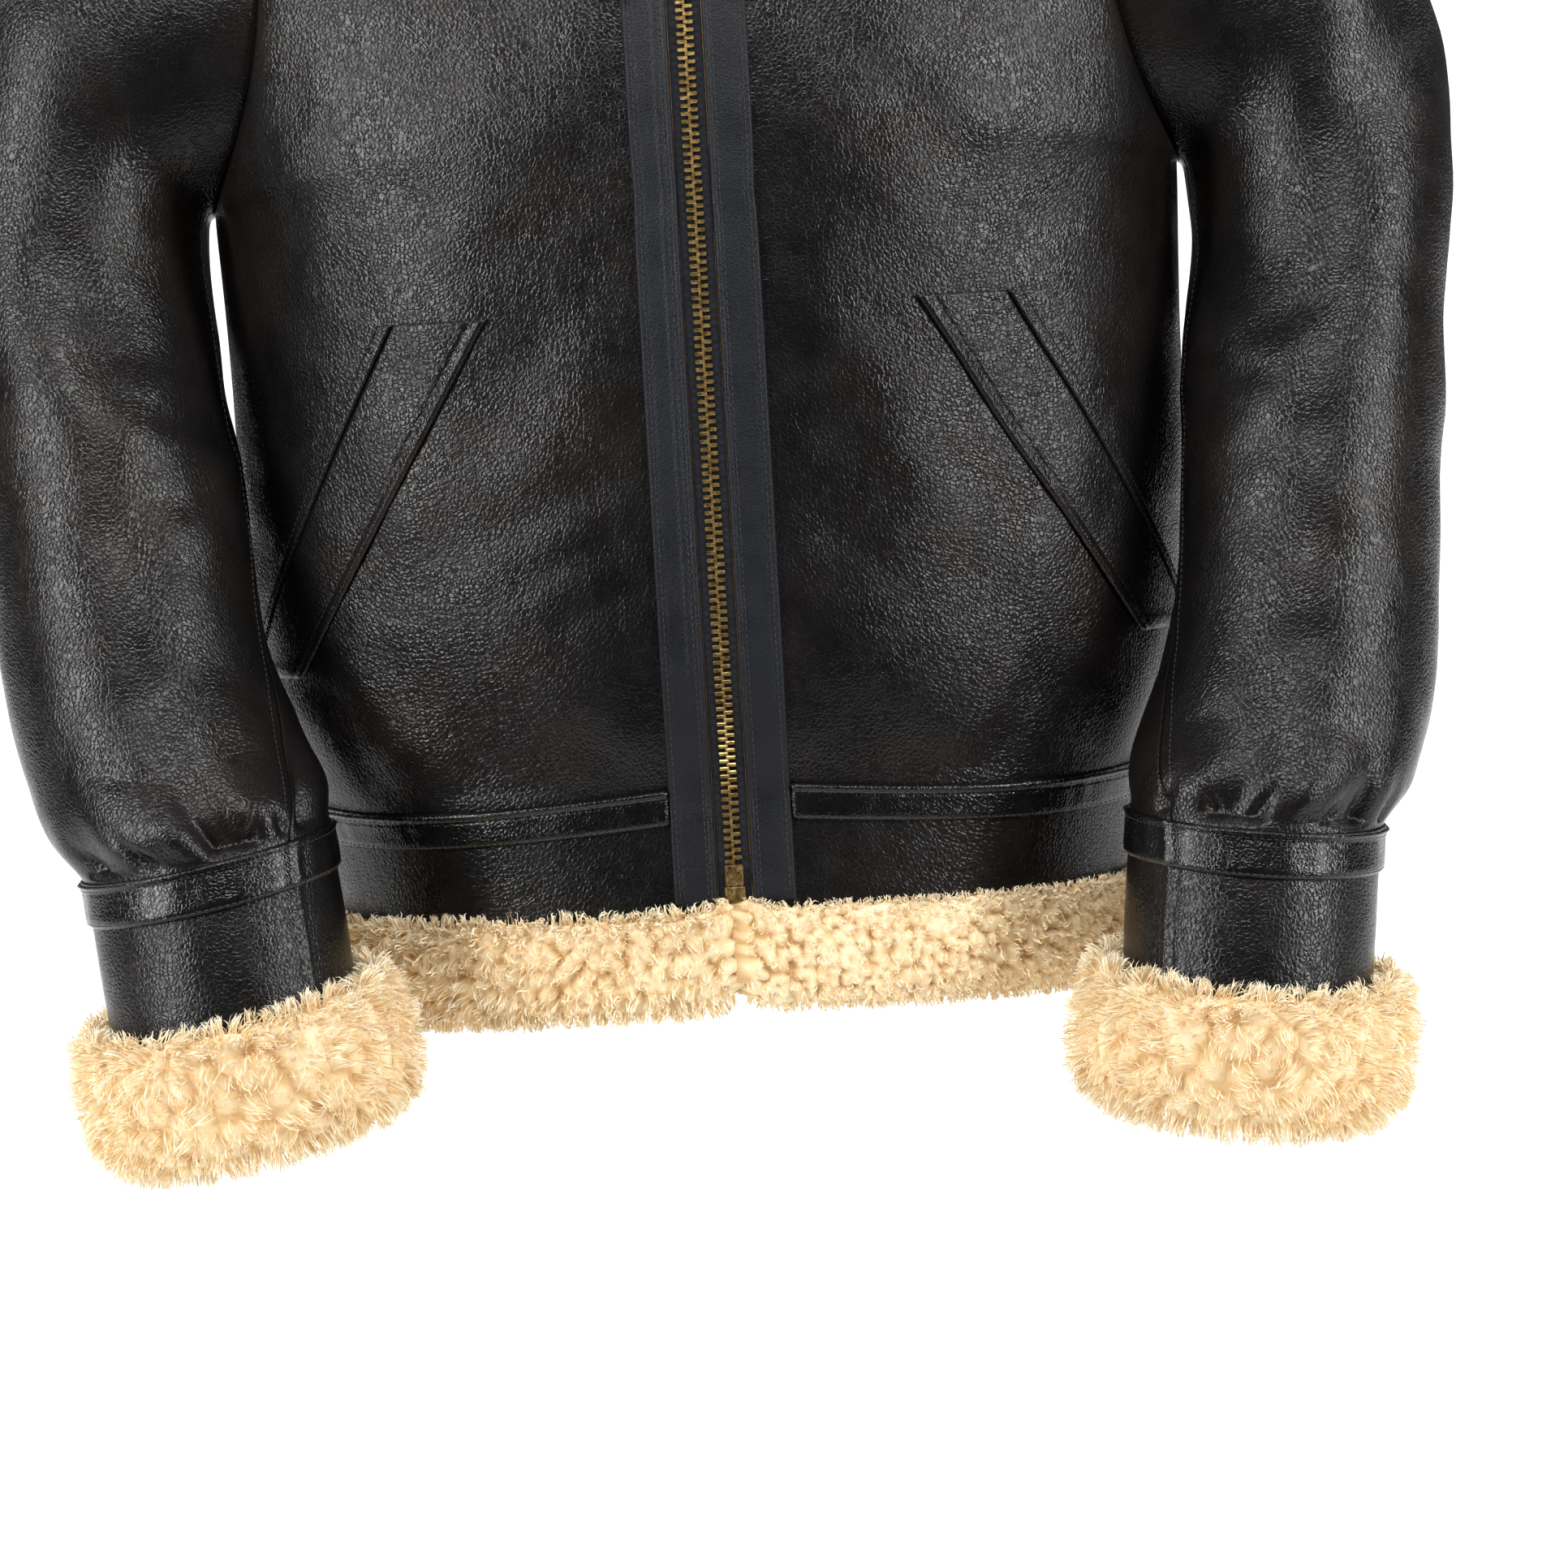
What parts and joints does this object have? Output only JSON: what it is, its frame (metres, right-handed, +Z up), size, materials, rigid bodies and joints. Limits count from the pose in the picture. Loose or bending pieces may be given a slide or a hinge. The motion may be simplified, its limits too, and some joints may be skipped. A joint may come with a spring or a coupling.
{
  "type": "shearling jacket",
  "caption": "Zipped bomber jacket of black leather shearling, hollow and filled out, with wool cuffs, hem and collar.",
  "frame": {"origin": "the seat on the wearer's shoulders: mid-way between them, level with the nape", "axes": "+Z up along the body, -Y the way the front faces, +X to the viewer's right, which is the wearer's left"},
  "size_m": [0.749, 0.3916, 0.7771],
  "materials": {
    "leather": "black pebble-grained sheepskin, semi-gloss, faint brown in the shade",
    "nappa": "smooth glossy black nappa",
    "placket": "matt blue-black leather strip",
    "zip_tape": "blue-black woven cotton tape",
    "brass": "antique brass, lightly worn",
    "wool": "honey-cream sheared wool, soft and fluffy"
  },
  "bodies": {
    "jacket": {"front_left": "leather", "hem_band_left": "leather", "sleeve_top_left": "leather", "sleeve_under_left": "leather", "cuff_left": "leather", "cuff_strap_left": "nappa", "cuff_fur_left": "wool", "hem_fur_left": "wool", "hem_strap_left": "nappa", "placket_left": "placket", "zip_tape_left": "zip_tape", "pocket_welt_left": "leather", "pocket_strip_left": "leather", "front_right": "leather", "hem_band_right": "leather", "sleeve_top_right": "leather", "sleeve_under_right": "leather", "cuff_right": "leather", "cuff_strap_right": "nappa", "cuff_fur_right": "wool", "hem_fur_right": "wool", "hem_strap_right": "nappa", "placket_right": "placket", "zip_tape_right": "zip_tape", "pocket_welt_right": "leather", "pocket_strip_right": "leather", "back": "leather", "hem_band_back": "leather", "hem_strap_back": "nappa", "hem_fur_back": "wool", "collar": "leather", "collar_fur": "wool", "zip_chain": "brass", "zip_pin": "brass", "zip_box": "brass", "zip_slider": "brass"},
    "pull_tab": {"zip_pull": "brass"}
  },
  "joints": [
    {"name": "pull_hinge", "type": "hinge", "parent": "jacket", "child": "pull_tab", "pos_m": [0, -0.14294, -0.11791], "axis": [-1, 0, 0], "range_deg": [0, 110]}
  ]
}
